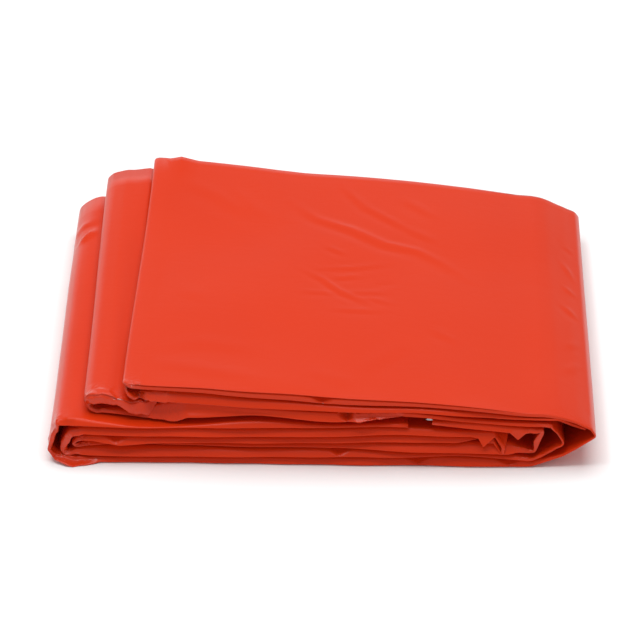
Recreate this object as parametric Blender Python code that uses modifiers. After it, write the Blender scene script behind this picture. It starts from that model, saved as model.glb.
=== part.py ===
# Emergency foil blanket, folded into a packet.
# A 2.10 m x 1.60 m film sheet is halved three times across its width, which
# makes a strip 0.20 m wide, and the strip is folded back and forth. The packet
# is one ribbon: level runs joined by turns at both ends. Metres, +Z up, the
# cut edges of the strip face front (-Y) and back (+Y), origin under the middle.

from collections import namedtuple

import bmesh
import bpy

MM = 0.001

# Driving dimensions
SHEET_WIDTH = 1.600
STRIP_PLIES = 8                                # three halvings
PACKET_DEPTH = SHEET_WIDTH / STRIP_PLIES       # 0.200 m, front edge to back edge
RIBBON_THICKNESS = 2.4 * MM                    # the eight film plies of the strip, lying loosely
TIGHT_THICKNESS = 1.6 * MM                     # the same plies pulled tight at the right end
TIGHTEN_FROM_X = 45 * MM                       # the strip thins from here
TIGHTEN_TO_X = 85 * MM                         # to here

# Unevenness of the packet
STEP_BACK = 6.0 * MM          # upper packets lie this far behind the bottom stack, at the left
STEP_BACK_FROM_X = -100 * MM  # full step back here
STEP_BACK_TO_X = 72 * MM      # none from here to the right
STEP_BACK_LOW_Z = 19.0 * MM   # runs below this height are not stepped back
STEP_BACK_HIGH_Z = 24.0 * MM
TAIL_POKE = 4.5 * MM          # lowest left corner, pulled forward of the front
TAIL_X = -109 * MM
TAIL_HALF_WIDTH = 13 * MM
TAIL_TOP_Z = 4.0 * MM
BACK_SAG = 0.14               # share of its height that the right end loses at the back
SAG_TO_X = 115 * MM           # the loss grows from the middle to here

# Ribbon mesh
DEPTH_SEGMENTS = 7
RUN_STEP = 15 * MM            # length of a facet along a level run
TURN_SEGMENTS = 5             # facets in each half of a turn
TIP_CROWDING = 1.6            # more than 1 draws a round turn's facets closer to its tip
SLOPE_ROUNDNESS = 1.5         # below this a half turn is nearly straight and evenly faceted

STATION_X = [x * MM for x in (-112, -96, -80, -31, 8, 38, 70, 100)]

# Height of each run's centre at the eight stations above, in millimetres.
Run = namedtuple("Run", "name far_left left_end left left_mid middle right_mid right right_end")
RUNS = [
    Run("cover", 36.9, 36.9, 36.6, 35.0, 33.4, 32.6, 31.1, 27.1),
    Run("cover_return", 30.9, 30.9, 30.9, 29.6, 28.9, 29.6, 28.4, 24.6),
    Run("middle_top", 31.0, 31.0, 27.6, 26.6, 26.0, 26.6, 25.7, 22.1),
    Run("middle_return", 22.6, 22.6, 22.8, 23.5, 23.1, 23.7, 23.0, 19.6),
    Run("stack_top", 20.2, 19.7, 19.7, 20.4, 20.2, 20.8, 20.3, 17.1),
    Run("stack_second", 15.9, 16.1, 16.2, 16.8, 17.1, 17.7, 16.9, 14.6),
    Run("stack_third", 12.4, 12.6, 12.8, 13.2, 13.6, 14.2, 13.4, 12.0),
    Run("stack_fourth", 9.0, 9.3, 9.4, 9.6, 9.9, 10.3, 9.7, 8.6),
    Run("stack_fifth", 4.9, 5.3, 5.6, 5.8, 5.9, 6.2, 6.0, 5.2),
]

# The turns in the order in which the strip meets them. Each joins the run it
# comes from to the run it goes to, and its tip is the farthest point of its
# centre line. The strip bends away from a run at reach_from or reach_to short
# of the tip; a roundness of 2 is an ellipse and 1 a straight slope.
# back_shift is how far the tip moves out at the back edge. Millimetres.
Turn = namedtuple(
    "Turn",
    "name run_from run_to tip_x tip_z reach_from reach_to round_from round_to back_shift",
)
TURNS = [
    Turn("stack_wrap_left", "stack_top", "floor", -119.8, 9.2, 9.5, 9.0, 2.2, 2.0, -1.6),
    Turn("outer_wrap_right", "floor", "cover", 120.1, 16.6, 26.0, 17.0, 1.35, 2.4, -0.6),
    Turn("cover_left", "cover", "cover_return", -85.8, 33.6, 5.5, 5.0, 2.2, 2.2, -0.4),
    Turn("cover_tuck_right", "cover_return", "middle_top", 108.5, 23.3, 1.8, 1.8, 2.0, 2.0, 0.4),
    Turn("middle_left", "middle_top", "middle_return", -103.0, 27.0, 8.5, 6.5, 2.1, 2.1, -4.0),
    Turn("second_right", "middle_return", "stack_fifth", 106.0, 13.0, 6.0, 14.0, 2.6, 1.3, 0.4),
    Turn("second_left", "stack_fifth", "stack_second", -116.2, 9.8, 7.5, 7.5, 1.9, 2.3, -1.4),
    Turn("core_right", "stack_second", "stack_third", 82.4, 15.6, 4.0, 6.0, 2.2, 1.6, -3.0),
    Turn("core_left", "stack_third", "stack_fourth", -112.3, 10.7, 4.5, 4.5, 2.0, 2.0, -2.0),
    Turn("third_right", "stack_fourth", "stack_top", 97.0, 15.2, 9.0, 5.0, 1.5, 2.5, -1.0),
]

# The two short cut ends of the strip meet, with a gap, inside the packet.
FIRST_CUT_X = 38.2 * MM
LAST_CUT_X = 48.7 * MM

FILM_COLOUR = (0.807, 0.078, 0.034, 1.0)       # orange side of the film, linear
FILM_ROUGHNESS = 0.38
FILM_METALLIC = 0.0


def smooth_step(low, high, value):
    t = min(max((value - low) / (high - low), 0.0), 1.0)
    return t * t * (3.0 - 2.0 * t)


def smooth_through(xs, values, x):
    """Smooth curve through the stations, level beyond the last ones."""
    if x <= xs[0]:
        return values[0]
    if x >= xs[-1]:
        return values[-1]
    slopes = []
    for index in range(len(xs)):
        before = max(index - 1, 0)
        after = min(index + 1, len(xs) - 1)
        slopes.append((values[after] - values[before]) / (xs[after] - xs[before]))
    index = max(i for i in range(len(xs) - 1) if xs[i] <= x)
    span = xs[index + 1] - xs[index]
    t = (x - xs[index]) / span
    start = values[index] * (1 + 2 * t) * (1 - t) ** 2 + slopes[index] * span * t * (1 - t) ** 2
    end = values[index + 1] * t * t * (3 - 2 * t) + slopes[index + 1] * span * t * t * (t - 1)
    return start + end


def strip_thickness(x):
    tight = smooth_step(TIGHTEN_FROM_X, TIGHTEN_TO_X, x)
    return RIBBON_THICKNESS + (TIGHT_THICKNESS - RIBBON_THICKNESS) * tight


def run_height(name, x):
    if name == "floor":
        return strip_thickness(x) / 2
    row = next(run for run in RUNS if run.name == name)
    return smooth_through(STATION_X, [height * MM for height in row[1:]], x)


def half_turn(corner_x, tip_x, tip_z, run_z, roundness):
    """Points from the run, at corner_x, to the tip: a quarter of a superellipse."""
    crowding = TIP_CROWDING if roundness > SLOPE_ROUNDNESS else 1.0
    points = []
    for step in range(TURN_SEGMENTS + 1):
        across = 1.0 - (1.0 - step / TURN_SEGMENTS) ** crowding
        rise = (1.0 - across ** roundness) ** (1.0 / roundness)
        points.append((corner_x + (tip_x - corner_x) * across, tip_z + (run_z - tip_z) * rise))
    return points


def turn_points(turn, back_share):
    side = 1.0 if turn.tip_x > 0 else -1.0
    tip_x = (turn.tip_x + turn.back_shift * back_share) * MM
    tip_z = turn.tip_z * MM
    corner_from = tip_x - side * turn.reach_from * MM
    corner_to = tip_x - side * turn.reach_to * MM
    going = half_turn(corner_from, tip_x, tip_z, run_height(turn.run_from, corner_from), turn.round_from)
    coming = half_turn(corner_to, tip_x, tip_z, run_height(turn.run_to, corner_to), turn.round_to)
    return going + coming[-2::-1]


def run_points(name, start_x, end_x, steps):
    """Points of a level run, without its two ends, which the turns hold."""
    points = []
    for step in range(1, steps):
        x = start_x + (end_x - start_x) * step / steps
        points.append((x, run_height(name, x)))
    return points


def run_steps(start_x, end_x):
    return max(round(abs(end_x - start_x) / RUN_STEP), 2)


def ribbon_section(back_share):
    """Centre line of the whole strip in X and Z, from one cut end to the other."""
    section = [(FIRST_CUT_X, run_height("stack_top", FIRST_CUT_X))]
    run_from_x = FIRST_CUT_X
    for turn in TURNS:
        points = turn_points(turn, back_share)
        steps = run_steps(run_from_x, turn.tip_x * MM)
        section += run_points(turn.run_from, section[-1][0], points[0][0], steps)
        section += points
        run_from_x = turn.tip_x * MM
    steps = run_steps(run_from_x, LAST_CUT_X)
    section += run_points("stack_top", section[-1][0], LAST_CUT_X, steps)
    section.append((LAST_CUT_X, run_height("stack_top", LAST_CUT_X)))
    return section


def packet_point(x, z, back_share):
    """Place a section point at its depth: 0 is the front edge and 1 the back."""
    from_left = 1.0 - smooth_step(STEP_BACK_FROM_X, STEP_BACK_TO_X, x)
    high = smooth_step(STEP_BACK_LOW_Z, STEP_BACK_HIGH_Z, z)
    step_back = STEP_BACK * from_left * high
    tail = max(1.0 - abs(x - TAIL_X) / TAIL_HALF_WIDTH, 0.0)
    floor_height = run_height("floor", x)
    tail *= 1.0 - smooth_step(floor_height, TAIL_TOP_Z, z)
    depth = PACKET_DEPTH * (back_share - 0.5) + step_back - TAIL_POKE * tail * (1.0 - back_share)
    sag = 1.0 - BACK_SAG * smooth_step(0.0, SAG_TO_X, x) * back_share
    return (x, depth, floor_height + (z - floor_height) * sag)


def build_ribbon():
    """The strip's middle surface, with its share of the full thickness at each vertex."""
    mesh = bpy.data.meshes.new("folded_blanket")
    ribbon = bmesh.new()
    weights = ribbon.verts.layers.deform.verify()
    # the front edge of the strip, then each row of it towards the back
    front = [ribbon.verts.new(packet_point(x, z, 0.0)) for x, z in ribbon_section(0.0)]
    edges = [ribbon.edges.new(pair) for pair in zip(front, front[1:])]
    for row in range(1, DEPTH_SEGMENTS + 1):
        back_share = row / DEPTH_SEGMENTS
        section = ribbon_section(back_share)
        made = bmesh.ops.extrude_edge_only(ribbon, edges=edges)["geom"]
        edges = [item for item in made if isinstance(item, bmesh.types.BMEdge)]
        new_row = [item for item in made if isinstance(item, bmesh.types.BMVert)]
        for vert, (x, z) in zip(new_row, section):
            vert.co = packet_point(x, z, back_share)
    for vert in ribbon.verts:
        vert[weights][0] = strip_thickness(vert.co.x) / RIBBON_THICKNESS
    low = [min(vert.co[axis] for vert in ribbon.verts) for axis in (0, 1)]
    high = [max(vert.co[axis] for vert in ribbon.verts) for axis in (0, 1)]
    low[0] -= RIBBON_THICKNESS / 2
    high[0] += TIGHT_THICKNESS / 2
    to_centre = (-(low[0] + high[0]) / 2, -(low[1] + high[1]) / 2, 0.0)
    bmesh.ops.translate(ribbon, verts=ribbon.verts, vec=to_centre)
    ribbon.to_mesh(mesh)
    ribbon.free()
    return mesh


def film_material():
    material = bpy.data.materials.new("orange_film")
    material.use_nodes = True
    shader = material.node_tree.nodes["Principled BSDF"]
    shader.inputs["Base Color"].default_value = FILM_COLOUR
    shader.inputs["Roughness"].default_value = FILM_ROUGHNESS
    shader.inputs["Metallic"].default_value = FILM_METALLIC
    return material


def main():
    for thing in list(bpy.data.objects):
        bpy.data.objects.remove(thing, do_unlink=True)
    collection = bpy.data.collections.new("emergency_foil_blanket")
    bpy.context.scene.collection.children.link(collection)
    blanket = bpy.data.objects.new("folded_blanket", build_ribbon())
    collection.objects.link(blanket)
    blanket.data.materials.append(film_material())
    blanket.vertex_groups.new(name="share_of_thickness")
    thickness = blanket.modifiers.new("ribbon_thickness", "SOLIDIFY")
    thickness.thickness = RIBBON_THICKNESS
    thickness.vertex_group = "share_of_thickness"
    thickness.offset = 0.0
    thickness.use_even_offset = True
    thickness.use_rim = True


main()
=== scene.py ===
import math

import bmesh
import bpy
import numpy as np
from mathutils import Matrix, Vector, noise


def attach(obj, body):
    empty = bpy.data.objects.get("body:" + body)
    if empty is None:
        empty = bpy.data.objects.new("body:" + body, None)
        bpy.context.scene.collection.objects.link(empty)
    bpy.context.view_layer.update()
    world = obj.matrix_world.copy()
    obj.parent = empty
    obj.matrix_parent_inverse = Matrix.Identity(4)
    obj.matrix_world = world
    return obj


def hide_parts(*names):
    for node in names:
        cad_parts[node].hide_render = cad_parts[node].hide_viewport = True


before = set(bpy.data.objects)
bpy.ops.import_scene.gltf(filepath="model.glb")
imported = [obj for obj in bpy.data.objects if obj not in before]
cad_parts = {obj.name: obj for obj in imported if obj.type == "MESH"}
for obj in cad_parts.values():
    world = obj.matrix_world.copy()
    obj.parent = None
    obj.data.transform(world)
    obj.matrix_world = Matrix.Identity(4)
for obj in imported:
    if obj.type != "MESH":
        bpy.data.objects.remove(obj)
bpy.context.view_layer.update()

mm = 0.001

# An emergency blanket: one film sheet, halved three times across its width into a
# strip of eight plies, then folded back and forth. All tables below are in mm,
# x from the packet's middle, y 0 at the middle of its depth, z up from the surface.
# Most of their places were read in the photograph and turned to mm, some then changed.
sheet = {
    "flatWidth": 1600.0,       # as cut
    "flatLength": 2100.0,
    "plies": 8,
    "depth": 200.0,            # one eighth of the width
    "film": 0.07,              # drawn thickness, the real film is about 0.02
    "shift": (0.84, -1.0),     # the CAD ribbon is centred on its own box
    "order": (1, 8, 5, 4, 3, 6, 7, 2),   # height of each ply in the strip, along the width
}

stations = (-112, -96, -80, -68, -31, 8, 38, 70, 97)
# Height of each dark seam between two runs at the stations above.
seams = {
    "coverTop": (37.4, 37.4, 37.5, 37.7, 37.5, 35.3, 33.6, 30.9, 27.8),
    "coverReturn": (34.2, 34.2, 34.5, 34.5, 33.4, 30.8, 30.2, 28.2, 25.6),
    "returnMiddle": (29.2, 29.2, 29.2, 29.1, 28.9, 27.7, 27.8, 25.5, 24.2),
    "middleTop": (30.6, 30.6, 28.6, 28.9, 28.7, 27.5, 27.5, 25.3, 24.0),
    "middleUnder": (26.2, 26.2, 25.0, 27.1, 27.7, 26.6, 26.7, 24.6, 23.4),
    "middleFloor": (24.6, 24.2, 23.8, 26.6, 27.4, 26.3, 26.6, 24.5, 23.3),
    "middleStack": (21.6, 21.4, 20.0, 19.8, 24.8, 22.9, 25.4, 22.4, 20.9),
    "stackTop": (22.4, 20.8, 19.4, 19.4, 22.4, 21.3, 22.2, 22.2, 20.8),
    "stackSecond": (18.4, 18.3, 18.2, 18.3, 18.9, 19.4, 19.9, 18.3, 17.4),
    "secondThird": (14.6, 14.1, 13.8, 13.8, 14.3, 15.3, 16.1, 15.3, 15.0),
    "thirdFourth": (11.2, 10.7, 10.4, 10.4, 10.8, 11.6, 12.1, 12.0, 12.0),
    "fourthFifth": (7.4, 8.0, 8.3, 8.2, 7.9, 8.3, 7.8, 7.0, 6.2),
    "fifthFloor": (3.1, 3.2, 3.3, 3.4, 3.9, 4.1, 4.6, 4.8, 3.6),
    "surface": (0.0,) * len(stations),
}

# Each run lies between two seams. forward is how far its front edge comes out at
# the stations, rise how much taller that edge is than the run, lean how far its
# upper part falls back, pinch its hollow, and lip a narrow overhang at its top.
runs = {
    "cover": dict(upper="coverTop", lower="coverReturn", lean=0.0, pinch=0.3, lip=1.0),
    "return": dict(upper="coverReturn", lower="returnMiddle", lean=0.9, pinch=0.1,
                   forward=(0, 0, 0, 0, 0, 0.3, 0, 0, -0.4)),
    "middleTop": dict(upper="middleTop", lower="middleUnder", lean=0.2, lip=0.8,
                      forward=(0, 0, 0, -6, -6, -6, -5.0, -2.0, -2.0)),
    "middleReturn": dict(upper="middleFloor", lower="middleStack", lean=0.9, pinch=0.1,
                         forward=(-1.5, -1.2, -0.8, 0, 0, 0.6, 0, -0.2, 0),
                         rise=(0, 0, 0, 1.8, 1.4, 1.3, 1.2, 0, 0)),
    "stackTop": dict(upper="stackTop", lower="stackSecond", lean=0.8,
                     forward=(0, 0, 0, 0.2, 0.2, 0, 0, 0, 0)),
    "second": dict(upper="stackSecond", lower="secondThird", lean=0.9, pinch=0.1,
                   forward=(-0.6, -0.4, 0, 0, 0, 0, -0.2, 0, 0)),
    "third": dict(upper="secondThird", lower="thirdFourth", lean=0.9, pinch=0.1,
                  forward=(-0.8, -0.3, 0, 0, 0, 0, 0, -0.4, -0.6)),
    "fourth": dict(upper="thirdFourth", lower="fourthFifth", lean=1.0, pinch=0.1,
                   forward=(-1.2, -2.0, -2.4, -2.2, -1.6, -0.8, 0, -0.2, -0.4)),
    "fifth": dict(upper="fourthFifth", lower="fifthFloor", lean=1.0,
                  forward=(-0.4, 0, 0, -0.2, 0, 0, 0, 0, 0)),
    "floor": dict(upper="fifthFloor", lower="surface", lean=0.7,
                  forward=(0, 0.3, 0, 0, 0, 0, 0, 0, 0)),
}

# The turns, in the order in which the strip meets them: each leaves run "a" and
# joins run "b". A corner is (x, z, strip thickness) on the centre line at the
# front; back moves the turn along x at the back edge.
turns = [
    dict(name="stackLeft", a="stackTop", b="floor", back=-1.6, corners=(
        (-112.0, 20.5, 3.2), (-115.6, 19.6, 2.8), (-118.4, 15.8, 2.4), (-119.0, 12.6, 2.6),
        (-119.9, 8.6, 2.2), (-120.1, 5.8, 1.9), (-117.6, 2.8, 2.0), (-110.0, 1.6, 2.8))),
    dict(name="wrapRight", a="floor", b="cover", back=-0.6, corners=(
        (93.0, 1.7, 2.6), (104.3, 5.5, 1.3), (107.3, 6.7, 1.2), (115.0, 11.9, 1.1),
        (120.9, 16.5, 0.9), (118.7, 20.2, 1.1), (113.0, 23.2, 1.2), (104.2, 26.0, 1.6),
        (98.0, 26.65, 1.75))),
    dict(name="coverLeft", a="cover", b="return", back=2.8, corners=(
        (-80.0, 36.0, 2.8), (-85.4, 36.4, 1.4), (-87.5, 36.0, 1.2), (-87.0, 34.0, 1.1),
        (-85.0, 32.4, 1.2), (-81.8, 30.6, 2.0), (-77.0, 31.1, 4.2))),
    dict(name="tuckRight", a="return", b="middleTop", back=0.0, corners=(
        (104.0, 25.2, 0.9), (112.0, 21.9, 0.8), (116.6, 19.4, 0.7), (112.0, 20.7, 0.8),
        (104.0, 23.9, 0.8))),
    dict(name="middleLeft", a="middleTop", b="middleReturn", back=-2.6, corners=(
        (-95.0, 28.8, 5.4), (-101.4, 28.7, 4.6), (-104.2, 27.2, 3.2), (-103.2, 24.4, 2.6),
        (-99.6, 22.8, 1.8), (-92.0, 22.4, 2.2))),
    dict(name="secondRight", a="middleReturn", b="fifth", back=0.4, corners=(
        (96.5, 22.0, 1.6), (101.2, 22.0, 1.9), (104.0, 18.4, 1.7), (107.0, 11.9, 1.0),
        (93.6, 3.9, 1.2), (86.0, 5.1, 2.2))),
    dict(name="secondLeft", a="fifth", b="second", back=-1.4, corners=(
        (-108.0, 5.1, 2.6), (-113.0, 4.0, 2.2), (-114.6, 6.6, 3.2), (-113.6, 9.8, 3.8),
        (-110.8, 14.4, 3.6), (-106.0, 16.2, 3.4))),
    dict(name="coreRight", a="second", b="third", back=-3.0, corners=(
        (77.5, 16.8, 2.3), (82.4, 16.6, 2.2), (81.6, 13.6, 1.7), (76.0, 13.5, 2.4))),
    dict(name="coreLeft", a="third", b="fourth", back=-2.0, corners=(
        (-104.0, 12.4, 2.6), (-108.6, 10.9, 2.2), (-110.2, 9.2, 1.8), (-108.8, 7.7, 1.6),
        (-103.0, 8.8, 2.2))),
    dict(name="thirdRight", a="fourth", b="stackTop", back=-1.0, corners=(
        (86.5, 8.9, 2.6), (93.8, 7.4, 1.2), (96.4, 15.6, 2.2), (97.4, 19.2, 2.0),
        (90.0, 19.4, 2.6))),
]
cuts = (38.2, 48.7)            # the strip's two short ends meet here, with a gap

lay = {
    "level": (0.0,) * len(stations),   # for a run whose edge keeps its place at every station
    "seamGap": 0.5,            # dark gap left between two runs
    "thinnest": 0.7,           # a run's least thickness
    "runPoints": 60,           # control points along each run
    "stepBack": 6.0,           # the upper packets lie this far back at the left
    "stepFrom": -100.0,
    "stepTo": -5.0,
    "stepParts": ("cover", "middleReturn"),   # from the first to the last that lies back
    "backSag": 0.12,           # share of its height that the right end loses at the back
    "sagTo": 115.0,
    "endSag": 0.12,            # and the wrap beyond loses this much more
    "endSagFrom": 97.0,
    "endSagTo": 117.0,
    "noseDepth": 1.3,          # how deep the fold along the front edge is
    "lipUnder": 0.31,          # height of the groove under an overhanging lip, in the strip
    "noseFlat": 4.0,           # film on each side of a crease that the fold takes up
    "innerNose": 1.6,
    "innerInset": (0.0, 2.6, 3.2, 3.8),
    "backReach": (199.2, 200.0, 199.8, 199.0, 199.0, 198.2, 198.2, 198.6),   # of each ply
    "nest": (0, 3, 2, 1),      # how far inside the outer fold each crease lies
    "outerLevel": 0.4,         # plies further than this from the strip's middle are its outer two
    "innerSpread": 0.3,        # spacing of the other plies, as a share of even spacing
    "noseBlunt": 3.4,          # how squarely the outer fold turns
    "noseUneven": 0.7,         # and how much its upper and lower corners differ in that
    "fanFrom": 186.0,          # towards the back edge the plies open up again
    "fanShort": 2.0,           # fully, this far short of it
    "fanSpread": 1.7,
    "backFold": 1.4,
    "cornerRound": 0.7,        # standard deviation of the smoothing of the corners
    "sample": 0.5,             # spacing of the section's points
    "aboveSurface": 0.03,      # the lowest film lies this far above it
}

# The grid's cells along the strip, finer where it bends, and its lines across each ply.
cells = {
    "length": 14.0,
    "angle": 17.0,
    "pulled": 5,               # cells in a pull, at least
    "crumpled": 2.5,
    "outerLines": (0.0, 0.4, 0.85, 1.35, 1.9, 2.5, 3.2, 4.0, 5.5, 8.5, 14.0),
    "underLines": (105.0,),
    "innerLines": (0.0, 1.6, 8.0, 130.0, 198.6),
    "topLines": 13,            # cells from the last outer line to the back edge
    "noseReach": 8.5,
    "noseCuts": 2,
    "coverCuts": (1, 3),       # cuts along and across, beyond those of the nose
    "coverFrom": 0.56,         # share of the wrap where the cover's finer cells start
    "creasedCuts": 1,
    "creased": (-22.0, 72.0, 52.0, 190.0),   # middle of the cover, with twice the cells
    "wrapCreased": (30.0, 165.0),            # the wrap's edge, with twice the lines
    "wrapCreasedTo": 100.0,                  # x on the cover where they end
    "dent": (-106.0, 0.64, 140.0, 186.0),    # in the stack's top left edge
    "dentCuts": 7,
    "tolerance": 0.01,         # for finding the grid's lines again
}

# Places where the film is pulled out of line. part and the three places along it
# (x on a run, a share of its length on a turn), which side of the fold, how far it
# reaches from the front edge (or from the back edge if negative), and the move.
pulls = [
    # the upper middle run hangs over in a flap that ends in a crumpled point
    ("middleTop", -90.0, -75.6, -72.5, "bottom", 5.0, 0.0, -1.8, -4.8),
    ("middleLeft", 0.02, 0.14, 0.3, "outer", 6.0, 0.0, -0.8, 0.4),
    ("middleLeft", 0.3, 0.45, 0.6, "both", 6.0, 0.9, 0.8, 0.0),
    ("middleLeft", 0.5, 0.64, 0.76, "both", 6.0, -0.6, -0.5, 0.0),
    # the cover's folded end is crushed in under its lip
    ("coverLeft", 0.3, 0.42, 0.55, "both", 4.0, 0.6, 3.0, 0.0),
    ("coverLeft", 0.5, 0.6, 0.7, "both", 4.0, -0.3, -0.9, 0.2),
    ("coverLeft", 0.72, 0.82, 0.95, "both", 4.0, 0.3, 2.2, 0.4),
    # the bottom left corner is drawn forward in a tail
    ("stackLeft", 0.66, 0.96, 1.45, "outer", 9.0, 0.0, -4.8, -0.2),
    ("stackLeft", 0.8, 1.0, 1.3, "inner", 7.0, 0.0, -1.6, 0.4),
    # a dent behind the stack's top left corner
    ("stackLeft", 0.16, 0.26, 0.42, "both", 6.0, 1.0, 0.6, -1.3),
    ("stackLeft", 0.05, 0.14, 0.22, "both", 5.0, -0.4, 0.0, 0.9),
    ("stackLeft", -0.14, -0.02, 0.08, "outer", 4.0, 0.0, -0.8, 0.5),
    # the inner turns at the right droop in flaps in front of the runs below
    ("coreRight", -0.1, 0.46, 1.0, "both", 4.0, -2.4, -2.6, -7.4),
    ("second", 68.8, 71.4, 76.6, "bottom", 3.5, 0.0, -1.8, -4.4),
    ("third", 60.0, 70.0, 73.0, "both", 5.0, 0.0, 4.0, 0.0),
    ("thirdRight", 0.3, 0.5, 0.66, "inner", 4.0, -1.5, -0.4, 0.0),
    ("stackTopEnd", 83.0, 86.8, 90.0, "bottom", 5.0, 0.0, 1.2, -4.2),
    ("secondRight", 0.1, 0.22, 0.4, "inner", 5.0, -0.9, 0.0, 0.0),
    # the cut end is thin, and a corner of an inner ply shows its silver side
    ("stackTopEnd", 48.7, 48.7, 86.0, "both", 12.0, 0.0, 0.0, 1.4),
    ("stackTopEnd", 48.7, 48.7, 88.0, "bottom", 12.0, 0.0, 0.0, 0.5),
    ("stackTopEnd", 48.7, 48.7, 53.0, "inside", 7.0, -4.2, -3.6, 2.1),
    # nicks and small dents along the front
    ("cover", -6.6, 0.2, 7.2, "vee", 3.0, 0.0, 2.8, -0.4),
    ("middleReturn", 6.5, 11.5, 15.5, "vee", 4.0, 0.0, 4.0, 0.0),
    ("middleReturn", 13.0, 16.5, 34.0, "bottom", 3.0, 0.0, -1.4, 0.0),
    ("middleReturn", -64.5, -59.0, -40.0, "both", 4.0, 0.0, 0.0, 1.0),
    ("middleReturn", -64.5, -59.0, -40.0, "bottom", 4.0, 0.0, 0.0, 0.8),
    ("fifth", 2.0, 7.5, 14.0, "vee", 4.0, 0.0, 2.4, 0.0),
    ("floor", 36.0, 43.0, 49.0, "vee", 4.0, 0.0, 1.8, 0.0),
    ("floor", 76.0, 83.0, 88.0, "vee", 4.0, 0.0, 1.6, 0.0),
    ("third", -101.0, -89.0, -72.0, "bottom", 4.0, 0.0, -1.2, -1.3),
    ("third", -97.0, -91.0, -84.0, "vee", 4.0, 0.0, 2.2, 0.0),
    # the back edge: corners pulled up or flattened
    ("middleTop", -97.0, -82.8, -80.6, "top", -60.0, 0.0, 0.0, 5.0),
    ("middleLeft", -1.2, 0.0, 0.5, "outer", -100.0, 0.0, 0.0, 2.4),
    ("coverLeft", -3.0, 0.2, 3.4, "both", -45.0, 0.0, 0.0, 3.4),
    ("cover", -80.0, -74.5, -66.0, "top", -12.0, 0.0, 0.0, 1.6),
    ("stackLeft", -0.1, 0.12, 0.35, "both", -30.0, 0.3, 0.0, -1.8),
]

# Stretches of crumpled film: part, from, to, reach from the front, and amount.
crumples = [
    ("middleTop", -102.0, -76.0, 6.0, 0.36),
    ("middleLeft", 0.0, 1.0, 7.0, 0.4),
    ("middleReturn", -80.0, -60.0, 4.0, 0.25),
    ("coverLeft", 0.0, 1.0, 6.0, 0.5),
    ("return", -80.0, -66.0, 5.0, 0.35),
    ("stackLeft", 0.1, 0.9, 9.0, 0.4),
    ("floor", -118.0, -96.0, 8.0, 0.2),
    ("secondLeft", 0.0, 1.0, 6.0, 0.45),
    ("coreLeft", 0.0, 1.0, 6.0, 0.4),
    ("middleReturn", 14.0, 36.0, 4.0, 0.3),
    ("coreRight", 0.0, 1.0, 5.0, 0.15),
    ("thirdRight", 0.0, 1.0, 6.0, 0.3),
    ("secondRight", 0.0, 1.0, 6.0, 0.25),
    ("wrapRight", 0.62, 1.0, 6.0, 0.08),
]

# Creases in the top faces of three runs: points (x, y), height, and width of the
# soft ridge, with its trough to the right of the line as its points are listed.
# A negative height turns the two over.
creases = {
    "cover": [
        (((-17.9, 70.9), (-4.8, 55.5), (11.6, 47.5), (26.7, 36.6), (42.2, 32.8), (52.9, 24.8), (67.0, 10.1)),
         0.55, 2.4),
        (((5.5, 89.9), (18.0, 69.3), (31.4, 57.5), (45.2, 45.8)), 0.36, 1.9),
        (((-11.4, 8.4), (-1.2, 0.6), (7.2, -9.4), (15.4, -14.8), (24.8, -22.5)), 0.38, 1.5),
        (((0.5, 1.8), (16.9, 5.6)), 0.26, 1.2),
        (((8.4, -9.4), (29.4, -7.8)), 0.26, 1.3),
        (((-6.7, 9.6), (11.5, 12.3), (22.7, 16.1), (30.4, 19.7)), 0.26, 1.3),
        (((-1.2, 30.7), (9.6, 23.9)), 0.22, 1.4),
        (((-13.2, -11.5), (6.1, -11.1)), 0.18, 1.3),
        (((22.9, -4.5), (31.7, 1.3)), -0.2, 1.2),
        (((1.7, -25.2), (28.3, -24.6)), 0.2, 1.6),
        (((49.2, -35.2), (60.0, -47.0)), 0.22, 2.0),
        (((16.6, -11.5), (30.6, -17.9)), 0.19, 1.6),
        (((39.2, 52.9), (51.2, 42.4)), 0.22, 2.4),
        (((34.9, 81.9), (52.5, 64.0)), 0.22, 2.6),
        (((-74.4, 81.8), (-55.6, 71.2), (-27.5, 46.5)), 0.25, 3.6),
        (((-46.8, 78.8), (-35.2, 60.8), (-24.0, 52.0)), 0.22, 3.0),
        (((-74.9, -66.3), (-54.7, -61.0), (-23.8, -65.1)), 0.22, 3.6),
        (((-82.6, -79.2), (-57.0, -82.4), (-16.2, -90.3)), 0.31, 3.4),
        (((-67.3, -16.8), (-53.0, -23.2)), 0.15, 3.0),
        (((14.1, -79.9), (35.2, -51.2)), 0.19, 3.2),
        (((-8.1, -77.5), (20.8, -89.5)), 0.19, 3.2),
        (((112.8, 59.0), (118.8, 53.0)), 0.7, 1.4),
        (((109.3, 44.5), (113.5, 34.0), (118.6, 21.0)), 0.8, 1.5),
        (((108.6, 21.0), (114.0, 15.5), (119.8, 11.5)), 0.75, 1.4),
        (((109.0, 1.5), (117.8, -9.0)), 0.6, 1.5),
        (((109.1, -38.0), (117.3, -26.5)), 0.4, 1.8),
        (((107.0, -61.0), (117.0, -46.0)), 0.4, 1.8),
    ],
    "middleTop": [
        (((-90.5, -82.0), (-87.0, 30.0), (-84.0, 96.0)), -0.7, 3.0),
    ],
    "stackTop": [
        (((-110.7, 67.0), (-114.5, 62.0), (-118.6, 56.0)), 1.5, 1.6),
        (((-111.5, 73.0), (-116.0, 69.5), (-119.0, 66.0)), -0.9, 2.0),
        (((-118.3, 1.6), (-115.5, 11.9)), 0.3, 1.6),
        (((-112.0, -93.0), (-88.0, -96.5), (-60.0, -96.0)), 0.3, 1.4),
    ],
}

# How a pull fades between the plies.
fades = {
    "tiny": 0.01,              # mm, for a pull that starts at its own peak
    "oneSide": (-0.15, 0.4),   # heights in the strip between which one side's pull sets in
    "veeClose": (0.86, 0.97),  # a nick closes here, towards the strip's upper face
    "within": 0.01,            # heights this near count as the same ply
}

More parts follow.
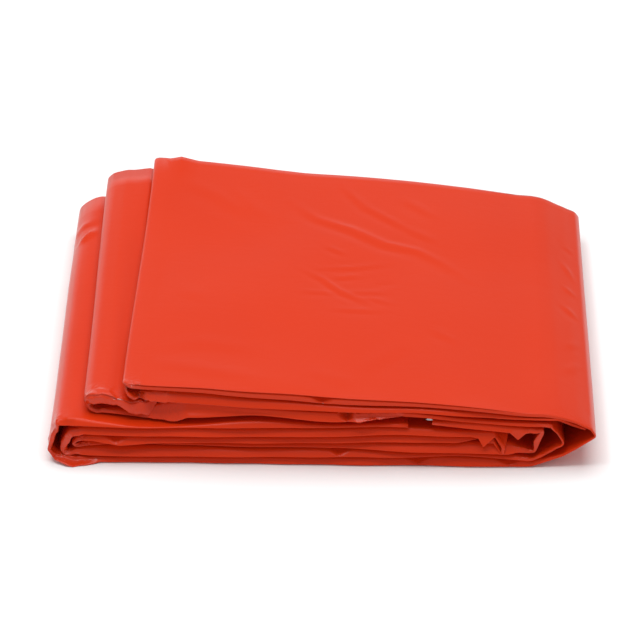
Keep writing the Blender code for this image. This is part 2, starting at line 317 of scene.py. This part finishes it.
# The film's own roughness where it is crumpled.
crumpleShape = {
    "softEnd": 2.0,            # mm over which a crumpled stretch sets in
    "least": 0.01,             # smaller amounts are left smooth
    "height": 2.0,             # mm at an amount of 1
    "sink": 0.2,
    "sharpness": 3,
    "lumps": ((5.5, 0.5), (2.8, 0.25)),      # size in mm, and share
    "plyOffset": 0.8,          # the plies crumple differently
    "seedStep": 11.0,
}

# A crease's cross section, with lengths as shares of its width, and its soft ends.
ridgeShape = {
    "troughDepth": 0.6,
    "troughAway": 1.9,
    "troughWidth": 1.3,
    "taper": 0.35,             # share of the crease's length that each end takes to rise
    "taperLeast": 0.12,
}

# The strip's front edge: how far behind it each of its features fades out, and its waves.
edge = {
    "reach": 6.0,
    "leanReach": 10.0,
    "lipReach": 2.0,
    "riseReach": 4.0,
    "riseTo": 0.4,             # height in the strip where a taller edge has risen fully
    "lipFrom": 1.4,            # a lip starts at this strip thickness
    "lipOver": 1.2,            # and is full this much above it
    "grooveWidth": 0.05,
    "lipBack": 0.7,            # share of the lip by which its top edge turns back in
    "lipTop": (0.38, 0.43),
    "waves": ((0.9, 26.0, 3.0), (0.8, 70.0, 8.0)),   # depth, length and seed
    "heightWave": (0.35, 34.0, 5.0),
    "waveFull": 4.0,           # height above the surface where that one is full
}

# The top faces that creases lift, and the slow waves on them.
topFaces = {
    "wrapFrom": 0.64,          # share of the wrap where the cover's face starts
    "stackShort": 12.0,        # the stack's face ends this far short of the lowest run
    "wave": (0.5, 48.0, 31.0),  # height, length and seed
    "endFade": 7.0,
    "frontFade": 6.0,
    "troughShare": 0.16,       # deepest trough, as a share of how far the strip's thickness
    "troughSpare": 0.5,        # is over this
}


def smoothStep(low, high, value):
    t = np.clip((value - low) / (high - low), 0.0, 1.0)
    return t * t * (3.0 - 2.0 * t)


def throughStations(values, x):
    # smooth curve through the station values, level beyond the last ones
    xs = np.array(stations, float)
    values = np.array(values, float)
    slopes = np.gradient(values, xs)
    slopes[0] = slopes[-1] = 0.0
    x = min(max(x, xs[0]), xs[-1])
    i = min(int(np.searchsorted(xs, x, side="right")) - 1, len(xs) - 2)
    span = xs[i + 1] - xs[i]
    t = (x - xs[i]) / span
    start = values[i] * (1 + 2 * t) * (1 - t) ** 2 + slopes[i] * span * t * (1 - t) ** 2
    return start + values[i + 1] * t * t * (3 - 2 * t) + slopes[i + 1] * span * t * t * (t - 1)


def runPoint(name, x):
    # centre height, thickness and edge shape of a run
    row = runs[name]
    upper = throughStations(seams[row["upper"]], x)
    lower = throughStations(seams[row["lower"]], x)
    forward, rise = (throughStations(row.get(key, lay["level"]), x) for key in ("forward", "rise"))
    shape = forward, row["lean"], row.get("pinch", 0.0), rise, row.get("lip", 0.0)
    return (upper + lower) / 2, max(upper - lower - lay["seamGap"], lay["thinnest"]), *shape


def layStrip(backShare):
    # control points of the strip's centre line, and where each run and turn starts
    points, marks = [], []
    x = cuts[0]
    for turn in turns + [None]:
        goalX = turn["corners"][0][0] + turn["back"] * backShare if turn else cuts[1]
        name = turn["a"] if turn else turns[-1]["b"]
        marks.append((name, len(points)))
        steps = np.linspace(x, goalX, lay["runPoints"])
        for px in steps if not turn else steps[:-1]:
            points.append((px, *runPoint(name, px)))
        if not turn:
            break
        marks.append((turn["name"], len(points)))
        corners = turn["corners"]
        shapeA = np.array(runPoint(name, corners[0][0])[2:])
        shapeB = np.array(runPoint(turn["b"], corners[-1][0])[2:])
        for i, (cx, cz, thick) in enumerate(corners):
            share = i / (len(corners) - 1)
            shape = shapeA * (1 - share) + shapeB * share
            points.append((cx + turn["back"] * backShare, cz, thick, *shape))
        x = corners[-1][0] + turn["back"] * backShare
    return np.array(points), marks


def buildSection():
    # the centre line at the front and at the back, sampled alike and smoothed
    front, marks = layStrip(0.0)
    back, _ = layStrip(1.0)
    middle = (front + back) / 2
    steps = np.hypot(np.diff(middle[:, 0]), np.diff(middle[:, 1]))
    counts = np.maximum(np.round(steps / lay["sample"]).astype(int), 1)
    index = np.concatenate([i + np.arange(n) / n for i, n in enumerate(counts)] + [[len(steps)]])
    reach = int(4 * lay["cornerRound"] / lay["sample"])
    kernel = np.exp(-0.5 * (np.arange(-reach, reach + 1) * lay["sample"] / lay["cornerRound"]) ** 2)
    kernel /= kernel.sum()
    section = {}
    for side, table in (("front", front), ("back", back)):
        columns = []
        for i, column in enumerate(table.T):
            dense = np.interp(index, np.arange(len(table)), column)
            padded = np.concatenate([np.full(reach, dense[0]), dense, np.full(reach, dense[-1])])
            smooth = np.convolve(padded, kernel, "valid")
            if i == 0:      # the cut ends stay where they are
                smooth[:reach], smooth[-reach:] = dense[:reach], dense[-reach:]
            columns.append(smooth)
        section[side] = np.array(columns)
    mean = (section["front"] + section["back"]) / 2
    steps = np.hypot(np.diff(mean[0]), np.diff(mean[1]))
    length = np.concatenate([[0.0], np.cumsum(steps)])
    section["drawn"] = length[-1]
    section["length"] = length * sheet["flatLength"] / length[-1]
    starts = np.interp([mark for _, mark in marks] + [len(middle) - 1], index, section["length"])
    section["parts"] = {}
    for i, (name, _) in enumerate(marks):
        # the strip's ends lie on the same run, so its last stretch gets its own name
        label = name if name not in section["parts"] else name + "End"
        section["parts"][label] = (starts[i], starts[i + 1])
    for side in ("front", "back"):
        dx, dz = np.gradient(section[side][0]), np.gradient(section[side][1])
        size = np.maximum(np.hypot(dx, dz), 1e-6)
        section[side] = np.vstack([section[side], dz / size, -dx / size])
    heading = np.unwrap(np.arctan2(np.diff(mean[1]), np.diff(mean[0])))
    bend = np.abs(np.gradient(heading))
    section["effort"] = np.concatenate(
        [[0.0], np.cumsum(steps / cells["length"] + np.degrees(bend) / cells["angle"])])
    return section


section = buildSection()
print("section: drawn length %.0f mm of %.0f" % (section["drawn"], sheet["flatLength"]))


def alongPlace(part, place):
    # flat position along the strip: place is x on a run, a share on a turn
    start, end = section["parts"][part]
    if part.replace("End", "") not in runs:
        return start + place * (end - start)
    inside = (section["length"] >= start) & (section["length"] <= end)
    xs, lengths = section["front"][0][inside], section["length"][inside]
    order = np.argsort(xs)
    return float(np.interp(place, xs[order], lengths[order]))


def acrossLines():
    # flat positions of the grid's lines across the sheet's width
    depth, plies = sheet["depth"], sheet["plies"]
    lines = set()
    for i in range(1, plies, 2):       # the creases at the front
        near = cells["outerLines"] if i == 1 else cells["innerLines"]
        lines |= {round(i * depth + side * line, 3) for side in (-1, 1) for line in near}
    top = np.linspace(cells["outerLines"][-1], depth - lay["backFold"], cells["topLines"] + 1)
    lines |= {round(depth + line, 3) for line in top}
    lines |= {depth - line for line in cells["underLines"]}
    lines |= {2 * depth * i for i in range(plies // 2 + 1)}
    return sorted(lines)


def refineEffort():
    # more cells along the strip where the film is pulled or crumpled
    length = section["length"]
    density = np.zeros(len(length))
    stretches = [(part, first, last, True) for part, first, _, last, *_ in pulls]
    stretches += [(part, first, last, False) for part, first, last, *_ in crumples]
    for part, first, last, pulled in stretches:
        a, b = sorted(alongPlace(part, place) for place in (first, last))
        inside = (length >= a) & (length <= b)
        needed = cells["pulled"] / (b - a) if pulled else 1 / cells["crumpled"]
        density[inside] = np.maximum(density[inside], needed)
    effort = np.diff(section["effort"])
    section["effort"][1:] = np.cumsum(np.maximum(effort, density[1:] * np.diff(length)))


def alongLines():
    refineEffort()
    lines = []
    for start, end in section["parts"].values():
        effort = np.interp((start, end), section["length"], section["effort"])
        count = max(round(effort[1] - effort[0]), 2)
        even = np.linspace(*effort, count + 1)[:-1]
        lines += list(np.interp(even, section["effort"], section["length"]))
    return lines + [section["length"][-1]]


def flatSheet():
    # the sheet as cut, with its grid drawn closer at the front edge, the cover, the wrap and the dent
    across, along = acrossLines(), alongLines()
    bm = bmesh.new()
    bmesh.ops.create_grid(bm, x_segments=len(across) - 1, y_segments=len(along) - 1, size=1.0)
    for vert in bm.verts:
        column = round((vert.co.x + 1.0) / 2.0 * (len(across) - 1))
        row = round((vert.co.y + 1.0) / 2.0 * (len(along) - 1))
        vert.co = (across[column], along[row], 0.0)

    depth, slack = sheet["depth"], cells["tolerance"]

    def drawCloser(front, back, start, end, runsAlong, cuts):
        # cut the edges that run along the strip, or across it, on the plies over the front fold
        chosen = []
        for line in bm.edges:
            a, b = line.verts[0].co, line.verts[1].co
            if (abs(a.x - b.x) < slack) == runsAlong \
                    and min(a.x, b.x) > depth + front - slack and max(a.x, b.x) < depth + back + slack \
                    and min(a.y, b.y) > start - slack and max(a.y, b.y) < end + slack:
                chosen.append(line)
        bmesh.ops.subdivide_edges(bm, edges=chosen, cuts=cuts, use_grid_fill=True)

    backLine, reach = depth - lay["backFold"], cells["noseReach"]
    for name, (start, end) in section["parts"].items():
        if name.replace("End", "") in runs:
            drawCloser(-reach, backLine if name == "cover" else reach, start, end, True, cells["noseCuts"])
    start, end = alongPlace("wrapRight", cells["coverFrom"]), section["parts"]["cover"][1]
    alongCuts, acrossCuts = cells["coverCuts"]
    topLine = cells["outerLines"][-1]
    drawCloser(topLine, backLine, start, end, False, acrossCuts)
    drawCloser(topLine, backLine, start, end, True, alongCuts)
    wrapStart, wrapEnd = start, alongPlace("cover", cells["wrapCreasedTo"])
    left, right, front, back = cells["creased"]
    start, end = alongPlace("cover", right), alongPlace("cover", left)
    drawCloser(front, back, start, end, False, cells["creasedCuts"])
    drawCloser(*cells["wrapCreased"], wrapStart, wrapEnd, False, cells["creasedCuts"])
    x, share, front, back = cells["dent"]
    start, end = alongPlace("stackTop", x), alongPlace("stackLeft", share)
    drawCloser(front, back, start, end, False, cells["dentCuts"])
    return bm


def evenLevel(place):
    # height in the strip, from -0.5 to 0.5, of the ply that is this one from the bottom
    return (place - (sheet["plies"] + 1) / 2) / sheet["plies"]


def plyPlace(flat, thick, tilt):
    # for a place across the width: distance behind the front edge, and height in the strip
    depth, order = sheet["depth"], np.array(sheet["order"])
    ply = np.clip((flat / depth).astype(int), 0, sheet["plies"] - 1)
    even = ply % 2 == 0

    def level(plies):
        raw = evenLevel(order[plies])
        return np.where(np.abs(raw) > lay["outerLevel"], raw, raw * lay["innerSpread"])

    def opened(levels):
        return levels * lay["fanSpread"] ** (np.abs(levels) < lay["outerLevel"])

    crease = np.clip(np.round((flat / depth - 1.0) / 2.0), 0, len(lay["nest"]) - 1).astype(int)
    fromCrease = np.abs(flat - depth * (2 * crease + 1))
    layer, other = level(ply), level(np.where(even, ply + 1, ply - 1))
    middle, half = (layer + other) / 2, (layer - other) / 2
    nest = np.array(lay["nest"])[crease]
    outer = nest == 0
    width = np.where(outer, lay["noseFlat"], lay["innerNose"])
    turn = np.clip(fromCrease / width, 0.0, 1.0) * math.pi / 2
    power = np.where(outer, 2.0 / (lay["noseBlunt"] - lay["noseUneven"] * tilt * np.sign(half)), 1.0)
    rise = np.sin(turn) ** power
    sink = 1.0 - np.clip(np.cos(turn), 0.0, 1.0) ** power
    noseDepth = np.where(outer, lay["noseDepth"], np.abs(half) * thick)
    inset = np.array(lay["innerInset"])[nest]
    height = middle + half * rise
    front = inset + noseDepth * sink
    slack = (np.array(lay["backReach"])[ply] - inset - noseDepth) / (depth - width)
    behind = front + np.maximum(fromCrease - width, 0.0) * slack
    # the inner plies open up towards the back, where each turns over a back fold
    fan = smoothStep(lay["fanFrom"], depth - lay["fanShort"], fromCrease)
    openLayer = opened(layer)
    height = height * (1 - fan) + openLayer * fan
    toBack = depth - fromCrease
    backPly = np.clip(np.where(even, ply - 1, ply + 1), 0, sheet["plies"] - 1)
    free = (ply == 0) | (ply == sheet["plies"] - 1)
    backOther = np.where(free, openLayer, opened(level(backPly)))
    backTurn = np.clip(toBack / lay["backFold"], 0.0, 1.0) * math.pi / 2
    backHeight = (openLayer + backOther) / 2 + (openLayer - backOther) / 2 * np.sin(backTurn)
    height = np.where(toBack < lay["backFold"], backHeight, height)
    return behind, height, outer


def sideShare(side, height, tilt):
    if side == "both":
        return 1.0
    if side == "inside":       # the upper of the inner plies, whose silver side faces up
        ply = evenLevel(sheet["plies"] - 1) * lay["innerSpread"]
        return (np.abs(height - ply) < fades["within"]) * 1.0
    sign = {"top": np.sign(tilt), "bottom": -np.sign(tilt), "outer": 1.0, "inner": -1.0}[side]
    return smoothStep(*fades["oneSide"], height * sign)


def veeShare(tent, height, tilt):
    # widest just under the upper lip, and closing to a point at the lower one
    span = evenLevel(sheet["plies"]) - evenLevel(1)
    up = np.clip(height * np.sign(tilt) / span + 0.5, 0.0, 1.0)
    return np.clip(2.0 * (tent - 1.0 + up), 0.0, 1.0) * (1 - smoothStep(*fades["veeClose"], up))


def pullFront(along, behind, height, tilt):
    move, tiny = np.zeros((3, len(along))), fades["tiny"]
    for part, first, peak, last, side, reach, dx, dy, dz in pulls:
        a, p, b = sorted(alongPlace(part, place) for place in (first, peak, last))
        share = np.minimum((along - a + tiny) / (p - a + tiny), (b - along + tiny) / (b - p + tiny))
        tent = np.clip(share, 0.0, 1.0)
        share = veeShare(tent, height, tilt) if side == "vee" else tent * sideShare(side, height, tilt)
        away = behind if reach > 0 else sheet["depth"] - behind
        share = share * np.exp(-(away / reach) ** 2)
        move += np.outer((dx, dy, dz), share)
    return move


def crumpleShare(along, behind):
    share = np.zeros(len(along))
    for part, first, last, reach, amount in crumples:
        a, b = sorted((alongPlace(part, first), alongPlace(part, last)))
        inside = np.clip(np.minimum(along - a, b - along) / crumpleShape["softEnd"] + 0.5, 0.0, 1.0)
        share = np.maximum(share, inside * amount * np.exp(-(behind / reach) ** 2))
    return share


def noiseAt(across, along, size, seed):
    return np.array([noise.noise(Vector((a / size, b / size, seed))) for a, b in zip(across, along)])


def creaseHeight(part, x, y):
    shape = ridgeShape
    total = np.zeros(len(x))
    for points, height, width in creases[part]:
        points = np.array(points)
        best = np.full(len(x), 1e9)
        place = np.zeros(len(x))
        walked = 0.0
        for a, b in zip(points, points[1:]):
            span = b - a
            size = np.hypot(*span)
            t = ((x - a[0]) * span[0] + (y - a[1]) * span[1]) / size ** 2
            near = np.clip(t, 0.0, 1.0)
            offX, offY = x - a[0] - span[0] * near, y - a[1] - span[1] * near
            side = np.sign(span[0] * offY - span[1] * offX)
            distance = np.hypot(offX, offY)
            closer = distance < np.abs(best)
            best = np.where(closer, distance * np.where(side == 0, 1.0, side), best)
            place = np.where(closer, walked + near * size, place)
            walked += size
        fromEnd = np.minimum(place, walked - place)
        taper = np.clip(fromEnd / (shape["taper"] * walked), shape["taperLeast"], 1.0)
        beside = (best + shape["troughAway"] * width) / (shape["troughWidth"] * width)
        ridge = np.exp(-(best / width) ** 2) - shape["troughDepth"] * np.exp(-beside ** 2)
        total += height * taper * ridge
    return total


def foldSheet(bm):
    flat = np.array([vert.co for vert in bm.verts])
    across, along = flat[:, 0], flat[:, 1]
    length = section["length"]
    depth = sheet["depth"]

    def at(side, column):
        return np.interp(along, length, section[side][column])

    behind, height, outer = plyPlace(across, at("front", 2), at("front", 9))
    share = np.clip(behind / depth, 0.0, 1.0)
    blend = smoothStep(0.0, 1.0, share)

    def mixed(column):
        return at("front", column) * (1 - blend) + at("back", column) * blend

    x, z, thick, forward, lean, pinch, rise, lip, normalX, normalZ = [mixed(i) for i in range(10)]
    lip = lip * np.clip((thick - edge["lipFrom"]) / edge["lipOver"], 0.0, 1.0)
    offset = height * thick
    x = x + normalX * offset
    z = z + normalZ * offset
    # the front edge: forward of the run, leaning back towards its top, hollowed
    nearFront = np.exp(-(behind / edge["reach"]) ** 2)
    y = behind - depth / 2 - forward * nearFront
    y = y + lean * offset * normalZ * np.exp(-(behind / edge["leanReach"]) ** 2)
    y = y + pinch * (1 - (2 * height) ** 2) * nearFront * outer
    up = height * np.sign(normalZ)
    under = np.exp(-((up - lay["lipUnder"]) / edge["grooveWidth"]) ** 2)
    under = under - edge["lipBack"] * smoothStep(*edge["lipTop"], up)
    y = y + lip * under * np.exp(-(behind / edge["lipReach"]) ** 2) * outer
    z = z + rise * smoothStep(0.0, edge["riseTo"], up) * np.exp(-(behind / edge["riseReach"]) ** 2)
    # unevenness along the edge
    level = np.zeros(len(along))
    y = y + sum(high * noiseAt(along, level, size, seed) for high, size, seed in edge["waves"]) * nearFront
    high, size, seed = edge["heightWave"]
    z = z + high * noiseAt(along, behind, size, seed) * nearFront * np.clip(z / edge["waveFull"], 0.0, 1.0)
    # pulls and crumples
    move = pullFront(along, behind, height, normalZ)
    crumple = crumpleShare(along, behind)
    shape = crumpleShape
    crumpled = crumple > shape["least"]
    place = (behind + shape["plyOffset"] * height)[crumpled], along[crumpled]
    for axis in range(3):
        rough = np.zeros(len(along))
        for size, weight in shape["lumps"]:
            lumps = noiseAt(*place, size, shape["seedStep"] * size + axis)
            rough[crumpled] += weight * (1 - shape["sharpness"] * np.abs(lumps))
        move[axis] += shape["height"] * crumple * (rough - shape["sink"])
    x, y, z = x + move[0], y + move[1], z + move[2]
    # creases in the top faces
    lift = np.zeros(len(along))
    parts, fade = section["parts"], topFaces["endFade"]
    ends = {"cover": (alongPlace("wrapRight", topFaces["wrapFrom"]), parts["cover"][1]),
            "middleTop": parts["middleTop"],
            "stackTop": (parts["stackTop"][0], parts["floor"][0] - topFaces["stackShort"])}
    high, size, seed = topFaces["wave"]
    for part, (start, end) in ends.items():
        face = (along > start) & (along < end) & (across > depth) & (across < 2 * depth)
        lift[face] = creaseHeight(part, x[face], y[face])
        lift[face] += high * noiseAt(x[face], y[face], size, seed)
        fadeOut = smoothStep(end - fade, end, along[face])
        lift[face] *= smoothStep(start, start + fade, along[face]) * (1 - fadeOut)
    deepest = topFaces["troughShare"] * (thick - topFaces["troughSpare"])
    lift = np.maximum(lift * smoothStep(0.0, topFaces["frontFade"], behind), -deepest)
    x, z = x + normalX * lift, z + normalZ * lift
    # the whole packet: upper part set back at the left, lower at the back right
    stepBack = lay["stepBack"] * (1 - smoothStep(lay["stepFrom"], lay["stepTo"], x))
    first, last = (parts[part] for part in lay["stepParts"])
    y = y + stepBack * ((along > first[0]) & (along < last[1]))
    sag = lay["backSag"] * smoothStep(0.0, lay["sagTo"], x)
    sag += lay["endSag"] * smoothStep(lay["endSagFrom"], lay["endSagTo"], x)
    z = z * (1 - sag * share)
    z = np.maximum(z, lay["aboveSurface"])
    places = np.stack([x + sheet["shift"][0], y + sheet["shift"][1], z], axis=1) * mm
    for vert, place in zip(bm.verts, places):
        vert.co = place
    return flat, crumple


def hexLinear(text):
    values = [int(text[i:i + 2], 16) / 255 for i in (1, 3, 5)]
    return [v / 12.92 if v <= 0.04045 else ((v + 0.055) / 1.055) ** 2.4 for v in values] + [1.0]


def addNode(tree, kind, settings=None, inputs=None):
    # one node with its settings, and its inputs as values or links from (node, socket)
    node = tree.nodes.new("ShaderNode" + kind)
    for key, value in (settings or {}).items():
        setattr(node, key, value)
    for key, value in (inputs or {}).items():
        if isinstance(value, tuple) and isinstance(value[0], bpy.types.Node):
            tree.links.new(value[0].outputs[value[1]], node.inputs[key])
        else:
            node.inputs[key].default_value = value
    return node


def newMaterial(name):
    material = bpy.data.materials.new(name)
    material.use_nodes = True
    return material, material.node_tree, material.node_tree.nodes["Principled BSDF"]


# Pigmented low density polyethylene film, cast smooth: satin gloss, colour right
# through, fine crinkles from folding.
orangeFilm = {
    "colour": "#D4350D",
    "deep": "#CF320D",
    "cloudSize": 50.0,         # mm between the two colours' slow changes
    "roughness": 0.3,
    "specular": 0.18,
    "gloss": 0.9,              # where the film is crumpled, its stretched skin glints
    "glossRoughness": 0.07,
    "crinkleSize": 9.0,        # mm between folding crinkles
    "crinkleHeight": 0.01,     # mm
    "crinkleEdge": 0.22,       # softness of a crinkle, as a share of its cell
    "warp": 14.0,              # mm by which the crinkles and facets wander
    "facetSize": 3.4,          # mm across one facet where the film is crumpled
    "facetHeight": 2.0,
    "streakSize": 2.2,         # mm between faint lines drawn along the strip
    "streakHeight": 0.012,
    "streakRun": 0.012,        # how fast the lines change along themselves, per mm
}


def makeOrangeFilm():
    look = orangeFilm
    material, tree, shader = newMaterial("orangePolyethyleneFilm")
    shader.inputs["Roughness"].default_value = look["roughness"]
    shader.inputs["Specular IOR Level"].default_value = look["specular"]
    shader.inputs["Coat Roughness"].default_value = look["glossRoughness"]
    place = addNode(tree, "UVMap", {"uv_map": "flatSheet"})
    spread = addNode(tree, "Mapping", None, {"Vector": (place, "UV"), "Scale": (1 / mm, 1 / mm, 1.0)})
    cloud = addNode(tree, "TexNoise", None,
                    {"Vector": (spread, "Vector"), "Scale": 1.0 / look["cloudSize"], "Detail": 2.0})
    colour = addNode(tree, "Mix", {"data_type": "RGBA"}, {"Factor": (cloud, "Fac")})
    colour.inputs["A"].default_value = hexLinear(look["deep"])
    colour.inputs["B"].default_value = hexLinear(look["colour"])
    tree.links.new(colour.outputs["Result"], shader.inputs["Base Color"])
    warp = addNode(tree, "TexNoise", None,
                   {"Vector": (spread, "Vector"), "Scale": 0.5 / look["crinkleSize"], "Detail": 3.0})
    warped = addNode(tree, "VectorMath", {"operation": "MULTIPLY_ADD"},
                     {0: (warp, "Color"), 1: (look["warp"], look["warp"], 0.0), 2: (spread, "Vector")})
    crinkle = addNode(tree, "TexVoronoi", {"feature": "DISTANCE_TO_EDGE"},
                      {"Vector": (warped, "Vector"), "Scale": 1.0 / look["crinkleSize"]})
    soft = addNode(tree, "MapRange", {"interpolation_type": "SMOOTHSTEP"},
                   {"Value": (crinkle, "Distance"), "From Max": look["crinkleEdge"]})
    ridges = addNode(tree, "Bump", None,
                     {"Height": (soft, "Result"), "Distance": look["crinkleHeight"] * mm, "Strength": 1.0})
    attribute = addNode(tree, "Attribute", {"attribute_name": "crumple"})
    facet = addNode(tree, "TexVoronoi", {"feature": "DISTANCE_TO_EDGE"},
                    {"Vector": (warped, "Vector"), "Scale": 1.0 / look["facetSize"]})
    height = addNode(tree, "Math", {"operation": "MULTIPLY"}, {0: (facet, "Distance"), 1: (attribute, "Fac")})
    gloss = addNode(tree, "Math", {"operation": "MULTIPLY"}, {0: (attribute, "Fac"), 1: look["gloss"]})
    tree.links.new(gloss.outputs["Value"], shader.inputs["Coat Weight"])
    facets = addNode(tree, "Bump", None,
                     {"Height": (height, "Value"), "Distance": look["facetHeight"] * mm, "Strength": 1.0,
                      "Normal": (ridges, "Normal")})
    drawn = (1.0 / look["streakSize"], look["streakRun"], 1.0)
    stretch = addNode(tree, "Mapping", None, {"Vector": (spread, "Vector"), "Scale": drawn})
    streak = addNode(tree, "TexNoise", None, {"Vector": (stretch, "Vector"), "Scale": 1.0, "Detail": 1.0})
    lines = addNode(tree, "Bump", None,
                    {"Height": (streak, "Fac"), "Distance": look["streakHeight"] * mm, "Strength": 1.0,
                     "Normal": (facets, "Normal")})
    tree.links.new(lines.outputs["Normal"], shader.inputs["Normal"])
    return material


# Vacuum metallised inner face: a bright aluminium coat on the same film.
silverFilm = {"colour": "#D9DADC", "roughness": 0.2}


def makeSilverFilm():
    material, _, shader = newMaterial("metallisedFilmInside")
    shader.inputs["Base Color"].default_value = hexLinear(silverFilm["colour"])
    shader.inputs["Roughness"].default_value = silverFilm["roughness"]
    shader.inputs["Metallic"].default_value = 1.0
    return material


def makeBlanket():
    bm = flatSheet()
    print("flat sheet: %d faces" % len(bm.faces))
    flat, crumple = foldSheet(bm)
    uvLayer = bm.loops.layers.uv.new("flatSheet")
    crumpleLayer = bm.verts.layers.float.new("crumple")
    bm.verts.ensure_lookup_table()
    for vert, value in zip(bm.verts, crumple):
        vert[crumpleLayer] = float(value)
    for face in bm.faces:
        face.smooth = True
        for loop in face.loops:
            place = flat[loop.vert.index]
            loop[uvLayer].uv = (place[0] * mm, place[1] * mm)
    mesh = bpy.data.meshes.new("film_sheet")
    bm.to_mesh(mesh)
    bm.free()
    piece = bpy.data.objects.new("film_sheet", mesh)
    bpy.context.scene.collection.objects.link(piece)
    mesh.materials.append(makeOrangeFilm())
    mesh.materials.append(makeSilverFilm())
    film = piece.modifiers.new("film", "SOLIDIFY")
    film.thickness = sheet["film"] * mm
    film.offset = -1.0
    film.material_offset = 1
    film.use_rim = True
    film.material_offset_rim = 0
    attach(piece, "root")
    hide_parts("folded_blanket")


makeBlanket()
print("blanket folded")

studio = {
    "target": (-0.0019, -0.0010, 0.01366),
    "azimuth": 1.261,
    "elevation": 31.6,
    "distance": 1.7829,
    "framePixels": 640,
    "pixelFocal": 3852.0,      # focal length in pixels of that frame
    "sensor": 36.0,            # mm
    "clipEnd": 20.0,
    "world": 0.5,
}

# Soft boxes: place, size, and power in watts, all aimed at the packet.
lamps = {
    "overhead": ((0.0, 0.1, 1.5), (1.3, 1.3), 18.5),
    "backdrop": ((-0.5, 1.6, 0.28), (1.7, 0.5), 2.1),
    "key": ((-0.3, -0.35, 1.1), (0.14, 0.14), 1.3),
}

# White paper sweep: matt, no gloss at all.
floorPaper = {"colour": "#F6F6F6", "roughness": 0.95, "specular": 0.0, "halfSize": 3.0}


def makeStudio():
    scene = bpy.context.scene
    camera = bpy.data.cameras.new("camera")
    camera.sensor_width = studio["sensor"]
    camera.lens = studio["pixelFocal"] * studio["sensor"] / studio["framePixels"]
    camera.clip_end = studio["clipEnd"]
    eye = bpy.data.objects.new("camera", camera)
    scene.collection.objects.link(eye)
    azimuth, elevation = math.radians(studio["azimuth"]), math.radians(studio["elevation"])
    back = Vector((math.sin(azimuth) * math.cos(elevation), -math.cos(azimuth) * math.cos(elevation),
                   math.sin(elevation)))
    eye.location = Vector(studio["target"]) + back * studio["distance"]
    eye.rotation_euler = back.to_track_quat("Z", "Y").to_euler()
    scene.camera = eye
    scene.view_settings.view_transform = "Standard"
    world = bpy.data.worlds.new("studio")
    world.use_nodes = True
    world.node_tree.nodes["Background"].inputs["Color"].default_value = (1, 1, 1, 1)
    world.node_tree.nodes["Background"].inputs["Strength"].default_value = studio["world"]
    scene.world = world
    for name, (place, size, power) in lamps.items():
        lamp = bpy.data.lights.new(name, "AREA")
        lamp.shape = "RECTANGLE"
        lamp.size, lamp.size_y = size
        lamp.energy = power
        box = bpy.data.objects.new(name, lamp)
        scene.collection.objects.link(box)
        box.location = place
        box.rotation_euler = Vector(place).to_track_quat("Z", "Y").to_euler()
    bm = bmesh.new()
    bmesh.ops.create_grid(bm, x_segments=1, y_segments=1, size=floorPaper["halfSize"])
    mesh = bpy.data.meshes.new("floor")
    bm.to_mesh(mesh)
    bm.free()
    floor = bpy.data.objects.new("floor", mesh)
    scene.collection.objects.link(floor)
    material, _, shader = newMaterial("whitePaperSweep")
    shader.inputs["Base Color"].default_value = hexLinear(floorPaper["colour"])
    shader.inputs["Roughness"].default_value = floorPaper["roughness"]
    shader.inputs["Specular IOR Level"].default_value = floorPaper["specular"]
    mesh.materials.append(material)


makeStudio()
print("studio ready")
